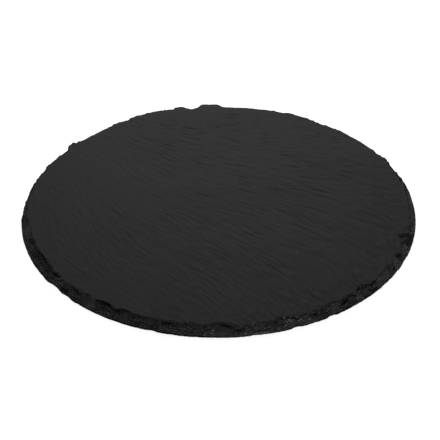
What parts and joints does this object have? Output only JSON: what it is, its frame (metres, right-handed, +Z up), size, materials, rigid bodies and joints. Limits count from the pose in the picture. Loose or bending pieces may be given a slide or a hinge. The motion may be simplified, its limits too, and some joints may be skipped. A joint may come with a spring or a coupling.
{
  "type": "cake platter",
  "caption": "Round natural slate serving board with a split face and a knapped, bevelled edge, on stuck-on rubber foot pads.",
  "frame": {"origin": "on the table plane under the foot pads, below the middle of the slate disc", "axes": "+Z up through the serving face, +X to the right and +Y to the back of the pictured view"},
  "size_m": [0.3, 0.3, 0.01],
  "materials": {
    "slate": "dark charcoal slate, split face with fine ripples, broken edge",
    "pad_rubber": "matt black moulded rubber",
    "adhesive_tape": "off-white double-sided tape"
  },
  "bodies": {
    "root": {"slate_disc": "slate", "foot_pad_front_left": "pad_rubber", "foot_pad_front_right": "pad_rubber", "foot_pad_back_left": "pad_rubber", "foot_pad_back_right": "pad_rubber", "foot_adhesive_front_left": "adhesive_tape", "foot_adhesive_front_right": "adhesive_tape", "foot_adhesive_back_left": "adhesive_tape", "foot_adhesive_back_right": "adhesive_tape"}
  },
  "joints": []
}
